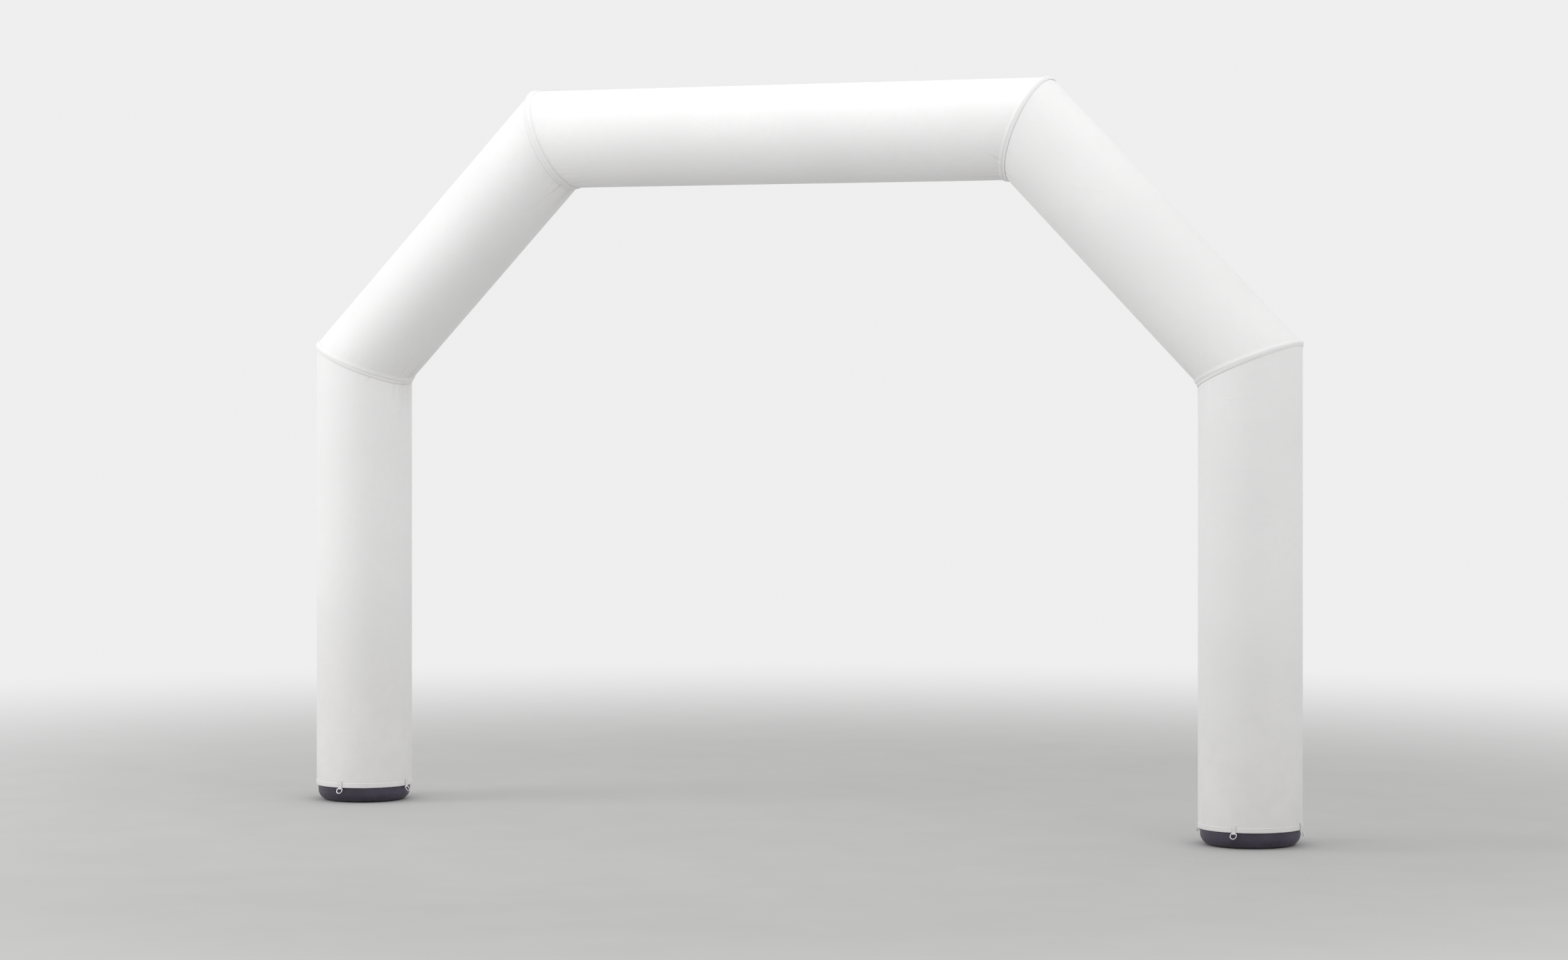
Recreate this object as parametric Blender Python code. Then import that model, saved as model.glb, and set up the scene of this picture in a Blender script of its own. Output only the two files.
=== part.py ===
"""Inflatable arch.

Two upright legs, two diagonals and a level beam are tubes of white cloth, blown up hard and sewn to one
another on mitred seams. A welt of turned cloth lies over each seam. The hem of each leg hangs as a short
skirt round a dark boot, and carries four webbing tabs, each with a steel lashing ring.

Lengths are in metres. +X runs along the span, +Y away from the front and +Z up. The origin is on the
ground, midway between the legs. Run it in Blender's text editor, or with
blender --background --python part.py
"""

import math

import bmesh
import bpy
import numpy as np

# The arch: where the tubes' axes meet, and how thick the tubes are.
TUBE_RADIUS = 0.300
LEG_SPACING = 5.860
SHOULDER_HEIGHT = 2.760
CROWN_SPACING = 3.150
BEAM_HEIGHT = 4.140
FACETS = 48

# Pieces that touch are kept apart by a hair.
CLEARANCE = 0.0003

# The mitred seams: the cloth draws in towards each one, along a quarter of an ellipse.
SEAM_DRAW_LENGTH = 0.030
SEAM_DRAW_DEPTH = 0.010
SEAM_DRAW_STEPS = 4

# The hem: a turned band at the foot of the leg, and the skirt that it ends.
HEM_HEIGHT = 0.095
HEM_BAND = 0.027
HEM_PROUD = 0.0015
SKIRT_DEPTH = 0.040
SKIRT_THICKNESS = 0.003

# The boot: an upright wall on a rounded toe.
BOOT_RADIUS = 0.288
BOOT_TOE = 0.062
BOOT_TOE_STEPS = 6

# The lashing rings: bent steel wire, measured between the middles of the wire.
WIRE_RADIUS = 0.00275
RING_WIDTH = 0.035
RING_HEIGHT = 0.032
RING_CORNER = 0.004
RING_TILT = math.radians(30)

# The webbing tabs: a strip folded in two over the ring's bar and sewn to the hem.
WEBBING_WIDTH = 0.025
WEBBING_THICKNESS = 0.0015
TAB_HEIGHT = 0.040
BAR_DROP = 0.006
BAR_LOOP_STEPS = 8

# The welt's section, once round. "reach" is the distance from the seam, positive on the tube nearer the
# beam's middle. "proud" is the height above the cloth.
WELT_COLUMNS = ("reach", "proud")
WELT_SECTION = (
    (0.0320, CLEARANCE),
    (0.0310, 0.0022),
    (0.0180, 0.0062),
    (0.0000, 0.0095),
    (-0.0055, 0.0085),
    (-0.0090, 0.0050),
    (-0.0085, 0.0010),
    (0.0000, CLEARANCE),
)

# Where the tubes' axes start, meet and end, from the left leg's foot over the beam to the right leg's.
JOINTS = np.array(
    (
        (-LEG_SPACING / 2, 0, 0),
        (-LEG_SPACING / 2, 0, SHOULDER_HEIGHT),
        (-CROWN_SPACING / 2, 0, BEAM_HEIGHT),
        (CROWN_SPACING / 2, 0, BEAM_HEIGHT),
        (LEG_SPACING / 2, 0, SHOULDER_HEIGHT),
        (LEG_SPACING / 2, 0, 0),
    )
)
TUBES = ("left_leg", "left_diagonal", "beam", "right_diagonal", "right_leg")
FRONT = np.array((0.0, -1.0, 0.0))

# Each seam by its joint, with the tube nearer the beam's middle and the one farther from it.
SEAMS = {
    "left_shoulder": (1, 1, 0),
    "left_crown": (2, 2, 1),
    "right_crown": (3, 2, 3),
    "right_shoulder": (4, 3, 4),
}

# Each side of a leg that has a ring, with the way it faces as seen from above.
RING_SIDES = {"front": -90, "back": 90, "inner": 0, "outer": 180}


def clear_scene():
    for obj in list(bpy.data.objects):
        bpy.data.objects.remove(obj, do_unlink=True)


def plain_material(name, colour, roughness, metallic=0.0):
    material = bpy.data.materials.new(name)
    material.use_nodes = True
    shader = material.node_tree.nodes["Principled BSDF"]
    shader.inputs["Base Color"].default_value = (*colour, 1)
    shader.inputs["Roughness"].default_value = roughness
    shader.inputs["Metallic"].default_value = metallic
    return material


def tube_axis(tube):
    """The way that a tube runs, from its first joint to its second."""
    along = JOINTS[tube + 1] - JOINTS[tube]
    return along / np.linalg.norm(along)


def seam_normal(joint):
    """The normal of the plane in which tubes meet: it halves their bend. A foot is cut square."""
    before = tube_axis(max(joint - 1, 0))
    after = tube_axis(min(joint, len(TUBES) - 1))
    return (before + after) / np.linalg.norm(before + after)


def tube_ring(joint, tube, distance, radius):
    """Points round a tube. Each is slid along it until it is this far from the joint's plane."""
    axis = tube_axis(tube)
    outward = np.array((-axis[2], 0, axis[0]))
    turn = np.linspace(0, 2 * math.pi, FACETS, endpoint=False)[:, None]
    spokes = radius * (np.cos(turn) * outward + np.sin(turn) * FRONT)
    normal = seam_normal(joint)
    away = distance if tube == joint else -distance
    slide = away - spokes @ normal / (axis @ normal)
    return JOINTS[joint] + spokes + slide[:, None] * axis


def drawn_end(joint, tube):
    """The rings of a tube's end, from its full radius in to the sewn edge."""
    return [
        tube_ring(
            joint,
            tube,
            CLEARANCE + SEAM_DRAW_LENGTH * (1 - math.sin(turn)),
            TUBE_RADIUS - SEAM_DRAW_DEPTH * (1 - math.cos(turn)),
        )
        for turn in np.linspace(0, math.pi / 2, SEAM_DRAW_STEPS + 1)
    ]


def skin(name, rings, joined=False):
    """A mesh through rings of points. Its ends are capped, or joined to each other."""
    form = bmesh.new()
    loops = [[form.verts.new(point) for point in ring] for ring in rings]
    followed_by = loops[1:] + loops[:1] if joined else loops[1:]
    for near, far in zip(loops, followed_by):
        for i in range(len(near)):
            form.faces.new((near[i - 1], near[i], far[i], far[i - 1]))
    if not joined:
        form.faces.new(loops[0])
        form.faces.new(loops[-1])
    bmesh.ops.recalc_face_normals(form, faces=form.faces)
    mesh = bpy.data.meshes.new(name)
    form.to_mesh(mesh)
    form.free()
    mesh.shade_smooth()
    mesh.set_sharp_from_angle(angle=math.radians(35))
    return mesh


def place(name, shape, material, location=(0, 0, 0), rotation=(0, 0, 0)):
    if not shape.materials:
        shape.materials.append(material)
    obj = bpy.data.objects.new(name, shape)
    obj.location = location
    obj.rotation_euler = rotation
    bpy.context.scene.collection.objects.link(obj)
    return obj


def make_leg(foot, tube, shoulder, cloth):
    """A leg: the underside above the boot, the skirt's inside and hem, and the wall up to the seam."""
    skirt_inside = TUBE_RADIUS - SKIRT_THICKNESS
    hem_outside = TUBE_RADIUS + HEM_PROUD
    band_top = HEM_HEIGHT + HEM_BAND
    profile = (
        (skirt_inside, HEM_HEIGHT + SKIRT_DEPTH),
        (skirt_inside, HEM_HEIGHT),
        (hem_outside, HEM_HEIGHT),
        (hem_outside, band_top),
        (TUBE_RADIUS, band_top + HEM_PROUD),
    )
    rings = [tube_ring(foot, tube, height, radius) for radius, height in profile]
    name = TUBES[tube]
    place(name, skin(name, rings + drawn_end(shoulder, tube)), cloth)


def make_span(tube, cloth):
    """A diagonal or the beam: a tube with a seam at each end."""
    name = TUBES[tube]
    rings = drawn_end(tube, tube)[::-1] + drawn_end(tube + 1, tube)
    place(name, skin(name, rings), cloth)


def make_welt(name, joint, upper, lower, cloth):
    """A seam's welt: its section is carried round the seam, and bends with the tubes in the seam's plane."""
    rings = [
        tube_ring(joint, upper if reach >= 0 else lower, abs(reach), TUBE_RADIUS + proud)
        for reach, proud in WELT_SECTION
    ]
    place(name, skin(name, rings, joined=True), cloth)


def make_boot(name, foot, tube, sheeting):
    """A boot: a flat sole, a toe that is a quarter of a circle, and a wall up into the skirt."""
    turns = np.linspace(0, math.pi / 2, BOOT_TOE_STEPS + 1)
    profile = [
        (BOOT_RADIUS - BOOT_TOE * (1 - math.sin(turn)), BOOT_TOE * (1 - math.cos(turn)))
        for turn in turns
    ]
    profile.append((BOOT_RADIUS, HEM_HEIGHT + SKIRT_DEPTH - CLEARANCE))
    rings = [tube_ring(foot, tube, height, radius) for radius, height in profile]
    place(name, skin(name, rings), sheeting)


def tab_mesh():
    """A webbing tab, folded over a bar that runs along Y through the origin, with +X away from the leg.

    The strip's middle line runs down the inner ply, round the bar, and up the outer ply.
    """
    ply = (WEBBING_THICKNESS + CLEARANCE) / 2
    loop = WIRE_RADIUS + CLEARANCE + WEBBING_THICKNESS / 2
    neck = BAR_DROP - 0.001
    top = BAR_DROP + TAB_HEIGHT
    turns = np.radians(np.linspace(150, 390, BAR_LOOP_STEPS + 1))
    line = [(-ply, top), (-ply, neck)]
    line += [(loop * math.cos(turn), loop * math.sin(turn)) for turn in turns]
    line += [(ply, neck), (ply, top)]
    line = np.array(line)

    # Each crossing lies square to the strip, halfway between the ways it runs before and after.
    runs = np.diff(line, axis=0)
    runs /= np.linalg.norm(runs, axis=1)[:, None]
    runs = np.vstack((runs[:1], runs[:-1] + runs[1:], runs[-1:]))
    runs /= np.linalg.norm(runs, axis=1)[:, None]
    across = np.column_stack((-runs[:, 1], runs[:, 0])) * WEBBING_THICKNESS / 2
    half = WEBBING_WIDTH / 2
    rings = [
        [
            (x - dx, -half, z - dz),
            (x + dx, -half, z + dz),
            (x + dx, half, z + dz),
            (x - dx, half, z - dz),
        ]
        for (x, z), (dx, dz) in zip(line, across)
    ]
    return skin("tab", rings)


def ring_curve():
    """A lashing ring as a bent wire: a bar along Y at the origin, and a bow that hangs from it."""
    half = RING_WIDTH / 2
    spring = half - RING_HEIGHT
    arcs = (
        (half - RING_CORNER, -RING_CORNER, RING_CORNER, 90, 0, 3),
        (0, spring, half, 0, -180, 12),
        (RING_CORNER - half, -RING_CORNER, RING_CORNER, 180, 90, 3),
    )
    points = []
    for y, z, radius, start, end, steps in arcs:
        for turn in np.radians(np.linspace(start, end, steps + 1)):
            points.append((0, y + radius * math.cos(turn), z + radius * math.sin(turn), 1))
    curve = bpy.data.curves.new("ring", "CURVE")
    curve.dimensions = "3D"
    curve.bevel_depth = WIRE_RADIUS
    curve.bevel_resolution = 2
    wire = curve.splines.new("POLY")
    wire.points.add(len(points) - 1)
    for point, place_in_space in zip(wire.points, points):
        point.co = place_in_space
    wire.use_cyclic_u = True
    wire.use_smooth = True
    return curve


def make_lashings(leg, foot, mirror, webbing, steel):
    """The four tabs and rings of a leg. mirror is -1 where the inner side faces -X."""
    tab = tab_mesh()
    ring = ring_curve()
    bar_reach = TUBE_RADIUS + HEM_PROUD + 2 * CLEARANCE + WEBBING_THICKNESS * 1.5
    for side, facing in RING_SIDES.items():
        turn = math.radians(facing if mirror > 0 else 180 - facing)
        spot = JOINTS[foot] + np.array((math.cos(turn), math.sin(turn), 0)) * bar_reach
        spot[2] = HEM_HEIGHT - BAR_DROP
        place(f"{leg}_{side}_tab", tab, webbing, spot, (0, 0, turn))
        place(f"{leg}_{side}_ring", ring, steel, spot, (0, -RING_TILT, turn))


def main():
    clear_scene()
    cloth = plain_material("white cloth", (0.86, 0.86, 0.85), 0.55)
    sheeting = plain_material("dark sheeting", (0.030, 0.026, 0.040), 0.42)
    webbing = plain_material("white webbing", (0.80, 0.80, 0.80), 0.70)
    steel = plain_material("bright steel", (0.72, 0.72, 0.74), 0.22, metallic=1.0)

    make_leg(0, 0, 1, cloth)
    make_leg(5, 4, 4, cloth)
    for tube in (1, 2, 3):
        make_span(tube, cloth)
    for name, (joint, upper, lower) in SEAMS.items():
        make_welt(f"{name}_welt", joint, upper, lower, cloth)
    make_boot("left_boot", 0, 0, sheeting)
    make_boot("right_boot", 5, 4, sheeting)
    make_lashings("left", 0, 1, webbing, steel)
    make_lashings("right", 5, -1, webbing, steel)


main()
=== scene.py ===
"""Inflatable arch: the cloth tubes, seam welts, boots, webbing tabs, lashing rings and stitching.

Every piece is a surface worked out as whole arrays. Lengths are in metres, +X runs along the span, +Y
away from the front and +Z up. The origin is on the ground, midway between the legs.
"""

import math

import bpy
import numpy as np
from bpy.props import FloatProperty, FloatVectorProperty, PointerProperty
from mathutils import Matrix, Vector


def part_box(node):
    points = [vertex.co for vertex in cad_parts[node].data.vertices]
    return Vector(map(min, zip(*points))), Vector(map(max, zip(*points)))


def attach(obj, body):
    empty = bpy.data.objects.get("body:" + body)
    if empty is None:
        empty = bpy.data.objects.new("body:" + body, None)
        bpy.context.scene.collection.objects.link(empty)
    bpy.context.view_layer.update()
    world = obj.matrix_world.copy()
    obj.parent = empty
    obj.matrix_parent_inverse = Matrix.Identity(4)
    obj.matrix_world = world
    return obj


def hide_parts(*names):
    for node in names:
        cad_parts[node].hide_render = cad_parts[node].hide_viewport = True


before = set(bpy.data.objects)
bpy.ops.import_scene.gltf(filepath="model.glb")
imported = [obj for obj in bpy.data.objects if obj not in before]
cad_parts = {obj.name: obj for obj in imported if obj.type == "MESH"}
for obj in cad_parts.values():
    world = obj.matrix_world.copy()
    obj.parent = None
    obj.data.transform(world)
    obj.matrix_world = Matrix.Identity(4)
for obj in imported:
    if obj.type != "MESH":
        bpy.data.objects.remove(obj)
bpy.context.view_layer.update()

bl_info = {
    "name": "Inflatable Arch",
    "version": (1, 0, 0),
    "blender": (4, 5, 0),
    "location": "View3D > Sidebar > Arch",
    "description": "Makes an inflatable arch of cloth tubes with its welts, boots and lashing rings",
    "category": "Add Mesh",
}

FRONT = np.array((0.0, -1.0, 0.0))
UP = np.array((0.0, 0.0, 1.0))
TURN = 2 * math.pi

# The gap between pieces that lie on each other.
CLEARANCE = 0.0003

# The tubes in order along the arch. Joint n is where tube n starts, and the first and last are feet.
TUBES = ("left_leg", "left_diagonal", "beam", "right_diagonal", "right_leg")
FEET = (0, len(TUBES))

# Each seam by its joint, with the tube nearer the beam's middle and the one farther from it.
SEAMS = {
    "left_shoulder": (1, 1, 0),
    "left_crown": (2, 2, 1),
    "right_crown": (3, 2, 3),
    "right_shoulder": (4, 3, 4),
}

# The painted shade lines on the cloth beneath a welt's edges, by the seam's joint and the tube, as how dark
# they are
# # and how far they reach from the seam.
PAINTED_WELT_SHADE = {(1, 0): (0.20, 0.018), (2, 2): (0.22, 0.034), (4, 4): (0.08, 0.018)}

# Each leg by its foot's joint, its tube, and which way its inner side faces along X.
LEGS = {"left": (0, 0, 1), "right": (5, 4, -1)}

# Each side of a leg that has a ring, with the way it faces as seen from above.
RING_SIDES = {"front": -90, "back": 90, "inner": 0, "outer": 180}

# The columns of points round a tube and a welt, and about how far apart the rows of a tube's plain wall are.
COLUMNS = 480
ROW_PITCH = 0.050

# The cloth draws in towards each mitred seam along a quarter of an ellipse.
DRAW_LENGTH = 0.030
DRAW_DEPTH = 0.010
DRAW_STEPS = 10

# The distances from a seam at which the tube has rows of points, past the drawn edge.
END_ROWS = np.array(
    (0.036, 0.042, 0.048, 0.055, 0.062, 0.070, 0.079, 0.089, 0.100, 0.113, 0.128, 0.146, 0.168, 0.195, 0.23)
)

# The rounds of pleats beside a seam, as their number round the tube, the distance of their crest from the
# seam and their share of the gathers' height. Then how far round from the inner corner each tuck strays.
PLEATS = ((67, 0.017, 0.45), (27, 0.040, 1.0))
TUCKS = (0.07,) * 4 + (0.18,) * 5 + (0.35,) * 6

# How strong the gathers are all round a seam, how much that varies, how much stronger they are at the inner
# corner, and over what turn that falls off. SWAY is the most that each slow wave of a tube's wall is high.
GATHERS_ROUND = 0.22
GATHERS_UNEVEN = 0.08
GATHERS_INNER = 1.1
GATHERS_SPREAD = 0.65
SWAY = 0.00022

# The closing seam that runs up the back of each tube: a flat-felled lap with two rows of stitches, and its
# columns of points, as distances from its middle. Last, how far from a mitred seam the stitches start, and
# the heights that they pass through above a foot's hem.
LAP_TURN = math.radians(-90)
LAP_HALF = 0.011
LAP_STEP = 0.0016
LAP_HEIGHT = 0.0011
LAP_ROW = 0.0078
LAP_ROW_BREADTH = 0.0016
LAP_ROW_DEPTH = 0.00035
LAP_COLUMNS = np.array(
    (-19, -15, -13, -11.8, -11, -10.2, -9.2, -7.8, -6, -3, 0, 3, 6, 7.8, 9.2, 10.2, 11, 11.8, 13, 15, 19)
) / 1000
LAP_START = 0.034
LAP_FOOT = (0.124, 0.14, 0.17, 0.24)

# The leg's foot: a turned hem on a skirt that hangs round the boot. The hem's band ends at HEM_STEP, and
# HEM_ROW is its row of stitches, which pulls it in and puckers it. The closing lap rises from HEM_LAP.
# SKIRT_WAVE is how far the skirt's waves stand out. EDGE_WAVE is how far they move its edge up or down,
# which has died away at EDGE_WAVE_TOP. Last, the heights of the rows of points on the band and the wall.
HEM_HEIGHT = 0.095
HEM_PROUD = 0.0015
HEM_ROW = 0.1172
HEM_ROW_DEPTH = 0.0006
HEM_ROW_BREADTH = 0.0012
HEM_STEP = 0.1222
HEM_STEP_BREADTH = 0.00035
HEM_LAP = 0.118
HEM_LAP_REACH = 0.006
PUCKER_PITCH = 0.03
PUCKER_DEPTH = 0.0003
PUCKER_BREADTH = 0.006
SKIRT_DEPTH = 0.040
SKIRT_TOP = HEM_HEIGHT + SKIRT_DEPTH
SKIRT_MIDDLE = 0.115
SKIRT_THICKNESS = 0.003
SKIRT_WAVE = 0.0005
EDGE_WAVE = 0.00022
EDGE_WAVE_TOP = 0.112
EDGE_WAVE_REACH = 0.016
BAND_ROWS = np.array(
    (0.101, 0.106, 0.111, 0.115, 0.1162, HEM_ROW)
    + (0.1182, 0.1194, 0.1207, 0.1217, 0.1223, 0.1229, 0.124, 0.128)
)
WALL_ROWS = np.array((0.136, 0.150, 0.17, 0.20, 0.24))

# The boot: an upright wall on a rounded toe, with a welded band round the wall between two heights. The
# pleats are in the toe. Last, the rows of points: on the sole, as shares of its radius, and up the wall.
BOOT_RADIUS = 0.288
BOOT_TOE = 0.062
BOOT_TOP = SKIRT_TOP - CLEARANCE
BOOT_BAND = (0.068, 0.0845)
BOOT_BAND_PROUD = 0.0006
BOOT_BAND_STEP = 0.0004
BOOT_PLEATS = 44
BOOT_PLEAT_DEPTH = 0.0007
BOOT_PLEAT_TOP = 0.066
BOOT_WAVE = 0.00035
BOOT_COLUMNS = 400
SOLE_ROWS = np.linspace(0.35, 0.97, 6)
BOOT_ROWS = np.array(
    (0.0655, 0.067, 0.068, 0.069, 0.0705, 0.075, 0.08, 0.0835)
    + (0.0845, 0.0855, 0.087, 0.092, 0.1, 0.115, BOOT_TOP)
)

# The welt's section, once round, as reach from the seam and height above the cloth. Reach is positive on the
# tube nearer the beam's middle. The smoothed section has WELT_STEPS points for each of these. WELT_ROWS are
# its rows of stitches.
WELT_SECTION = np.array(
    (
        (0.0318, 0.0003), (0.0321, 0.0012), (0.0314, 0.0021), (0.0298, 0.0025), (0.0275, 0.0026),
        (0.0250, 0.0034), (0.0205, 0.0047), (0.0150, 0.0058), (0.0100, 0.0063), (0.0062, 0.0062),
        (0.0020, 0.0062), (-0.0030, 0.0056), (-0.0080, 0.0045), (-0.0125, 0.0032), (-0.0158, 0.0021),
        (-0.0172, 0.0013), (-0.0168, 0.0006), (-0.0140, 0.0004), (-0.0080, 0.0003), (0.0000, 0.0003),
        (0.0100, 0.0003), (0.0220, 0.0003),
    )
)
WELT_STEPS = 2
WELT_ROWS = ((0.0275, 0.0028), (0.0062, 0.0064))

# The lashing rings: bent steel wire, measured between the middles of the wire. The weld's bead is thicker
# than the wire by WELD_SHARE of it.
WIRE_RADIUS = 0.00275
WIRE_SIDES = 18
WELD_SHARE = 0.08
WELD_LENGTH = 0.0016
RING_WIDTH = 0.035
RING_HEIGHT = 0.032
RING_CORNER = 0.004
RING_TILT = math.radians(30)

# The webbing tabs: a strip folded in two over the ring's bar and sewn to the hem. It settles back onto the
# wall at TAB_SETTLE, above the hem's band. A crossed box of stitches stays inside its sides and top.
WEBBING_WIDTH = 0.025
WEBBING_THICKNESS = 0.0015
TAB_HEIGHT = 0.040
TAB_SETTLE = 0.1245
TAB_SETTLE_BREADTH = 0.0016
BAR_DROP = 0.006
BOX_INSET = 0.0035
BOX_TOP = 0.004
BOX_PITCH = 0.0042

# Each stitch is a small tube with this many sides and rings. It reaches this many pitches to either side
# of its middle, rises and sinks by shares of the thread's width, and narrows by a share at its ends. Last,
# the turns of the points of a path round a tube.
STITCH_SIDES = 5
STITCH_RINGS = 5
STITCH_REACH = 0.40
STITCH_RISE = 0.75
STITCH_SINK = 0.45
STITCH_NARROWING = 0.45
PATH_TURNS = np.linspace(0, TURN, 2400)

# A pattern's map spans this many metres, so that the longest tube's map stays inside it.
MAP_SPAN = 4.0

# The names that pieces and materials share: the cloth's material, and a piece's map and its worn places,
# which on the cloth hold painted shade too.
CLOTH = "white_coated_weave"
PATTERN = "pattern"
WORN_SHADE_ATTRIBUTE = "rub"

# The colours of worn places, which on the cloth are also painted shade, of dust, which on the cloth is also
# painted shade towards the ground, and of scuffed and browned places.
CLOTH_WORN_SHADED = (0.50, 0.485, 0.465)
GROUND_DUST_AND_SHADE = (0.60, 0.582, 0.572)
SHEETING_SCUFF = (0.115, 0.106, 0.130)
SHEETING_DUST = (0.16, 0.148, 0.135)
WEBBING_RUBBED = (0.40, 0.39, 0.38)
STEEL_BROWNING = (0.42, 0.38, 0.34)

# The studio: the floor's two greys, its rings and its height just under the soles, and each light with its
# place, what it faces and its size.
FLOOR_GREYS = ((0.475, 0.475, 0.472), (0.49, 0.49, 0.486))
FLOOR_RINGS = np.array((4.0, 9.0, 14.0, 20.0, 40.0, 120.0, 360.0))
FLOOR_SIDES = 96
FLOOR_HEIGHT = -0.0006
LIGHTS = {
    "key": ((-9.6, -5.0, 5.4), (-2.9, 0.0, 2.6), 4.0),
    "fill": ((8.6, -4.0, 7.4), (3.0, 0.0, 3.4), 4.0),
    "top": ((0.0, -1.0, 8.0), (0.0, -0.5, 0.0), 6.0),
}

# The camera: its place, how far it is turned from face on, its lens in millimetres, and how far the frame
# is shifted, in parts of the frame's width.
CAMERA_PLACE = (10.411, -23.014, 2.879)
CAMERA_TURN = math.radians(24.37)
CAMERA_LENS = 96.0
CAMERA_SHIFT = -214.9 / 2464


# The sizes and colours that a user may change


class ArchSizes(bpy.types.PropertyGroup):
    """Where the tubes' axes meet, and how the cloth is sewn."""

    tube_radius: FloatProperty(
        name="Tube radius", description="Radius of the blown-up tubes",
        default=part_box("beam")[1].y, min=0.1, unit="LENGTH",
    )
    leg_spacing: FloatProperty(
        name="Leg spacing", description="Distance between the legs' axes",
        default=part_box("right_boot")[0].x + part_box("right_boot")[1].x, min=1.0, unit="LENGTH",
    )
    shoulder_height: FloatProperty(
        name="Shoulder height", description="Height at which a leg's axis meets its diagonal's",
        default=2.760, min=0.5, unit="LENGTH",
    )
    crown_spacing: FloatProperty(
        name="Crown spacing", description="Distance between the beam's two mitres, along its axis",
        default=3.150, min=0.5, unit="LENGTH",
    )
    beam_height: FloatProperty(
        name="Beam height", description="Height of the beam's axis",
        default=4.140, min=0.5, unit="LENGTH",
    )
    gather_height: FloatProperty(
        name="Gather height", description="How deep the small folds beside a seam are",
        default=0.0021, min=0.0, unit="LENGTH",
    )
    stitch_pitch: FloatProperty(
        name="Stitch pitch", description="Distance from one stitch to the next",
        default=0.0085, min=0.003, unit="LENGTH",
    )
    thread_width: FloatProperty(
        name="Thread width", description="Thickness of the sewing thread",
        default=0.0012, min=0.0003, unit="LENGTH",
    )
    weave_pitch: FloatProperty(
        name="Weave pitch", description="Distance from one yarn of the cloth to the next",
        default=0.0011, min=0.0003, unit="LENGTH",
    )


class ArchFinish(bpy.types.PropertyGroup):
    """The colours of the materials and the strength of the light."""

    cloth_colour: FloatVectorProperty(
        name="Cloth colour", description="Colour of the tubes and welts",
        default=(0.87, 0.862, 0.861), subtype="COLOR", min=0.0, max=1.0,
    )
    sheeting_colour: FloatVectorProperty(
        name="Sheeting colour", description="Colour of the boots",
        default=(0.053, 0.044, 0.070), subtype="COLOR", min=0.0, max=1.0,
    )
    webbing_colour: FloatVectorProperty(
        name="Webbing colour", description="Colour of the tabs that hold the rings",
        default=(0.80, 0.80, 0.80), subtype="COLOR", min=0.0, max=1.0,
    )
    steel_colour: FloatVectorProperty(
        name="Steel colour", description="Colour of the rings",
        default=(0.74, 0.74, 0.76), subtype="COLOR", min=0.0, max=1.0,
    )
    backdrop_light: FloatProperty(
        name="Backdrop light", description="Brightness of the studio all round the arch",
        default=0.86, min=0.0,
    )
    key_power: FloatProperty(
        name="Key light", description="Power of the large soft light beside the left leg",
        default=250.0, min=0.0, unit="POWER",
    )
    fill_power: FloatProperty(
        name="Fill light", description="Power of the large soft light beside the right leg",
        default=58.0, min=0.0, unit="POWER",
    )
    top_power: FloatProperty(
        name="Top light", description="Power of the large soft light above the arch",
        default=105.0, min=0.0, unit="POWER",
    )


# Shapes of a number or of a whole array of them


def bell(value, spread):
    """1 where value is nothing, falling off to both sides over this spread."""
    return np.exp(-((value / spread) ** 2))


def ramp(value, reach):
    """0 up to nothing and 1 past this reach, straight between them."""
    return np.clip(value / reach, 0, 1)


def above(value, limit, breadth):
    """1 where value is above limit and 0 where it is below, with a soft step of this breadth."""
    return 1 / (1 + np.exp((limit - value) / breadth))


def crested(value):
    """0 at nothing, rising to 1 at 1 and dying away past it: value times a falling exponential."""
    return value * np.exp(1 - value)


def wrapped(turn):
    """The same turn, between half a turn back and half a turn on."""
    return (turn + math.pi) % TURN - math.pi


def once_round(count):
    """Evenly spaced turns, once round."""
    return np.arange(count) / count * TURN


def closed_turns(turns):
    """Turns once round, with the first one again at their end, a whole turn on."""
    return np.append(turns, turns[0] + TURN)


def waves_round(draw, turn, counts, low, high):
    """A sum of cosines, one for each count of waves round, each of a random size and place."""
    return sum(draw.uniform(low, high) * np.cos(count * turn + draw.uniform(0, TURN)) for count in counts)


def looped(points):
    """Points with the first one again at their end."""
    return np.concatenate((points, points[:1]))


def run_lengths(points):
    """The distance run along each row of points, from its first."""
    steps = np.linalg.norm(np.diff(points, axis=-2), axis=-1)
    start = np.zeros(steps.shape[:-1] + (1,))
    return np.concatenate((start, np.cumsum(steps, axis=-1)), axis=-1)


def unit(ways):
    """Each of these directions with a length of one."""
    return ways / np.linalg.norm(ways, axis=-1, keepdims=True)


def square_to(ways):
    """The unit direction square to each of these ways in a plane."""
    ways = unit(ways)
    return np.column_stack((ways[:, 1], -ways[:, 0]))


def arc(aside, height, radius, start, end, count):
    """Points of an arc round a middle, from one turn to another in degrees."""
    bend = np.radians(np.linspace(start, end, count))
    return np.column_stack((aside + radius * np.cos(bend), height + radius * np.sin(bend)))


def smooth_loop(points, steps):
    """A closed curve through points: each span is a cubic whose ends run as the neighbouring points do."""
    before, after, beyond = (np.roll(points, shift, 0) for shift in (1, -1, -2))
    t = (np.arange(steps) / steps)[None, :, None]
    p0, p1, p2, p3 = (p[:, None, :] for p in (before, points, after, beyond))
    curve = 0.5 * (
        2 * p1 + (p2 - p0) * t + (2 * p0 - 5 * p1 + 4 * p2 - p3) * t**2 + (3 * p1 - p0 - 3 * p2 + p3) * t**3
    )
    return curve.reshape(-1, points.shape[1])


# The layout of the tubes


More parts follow.
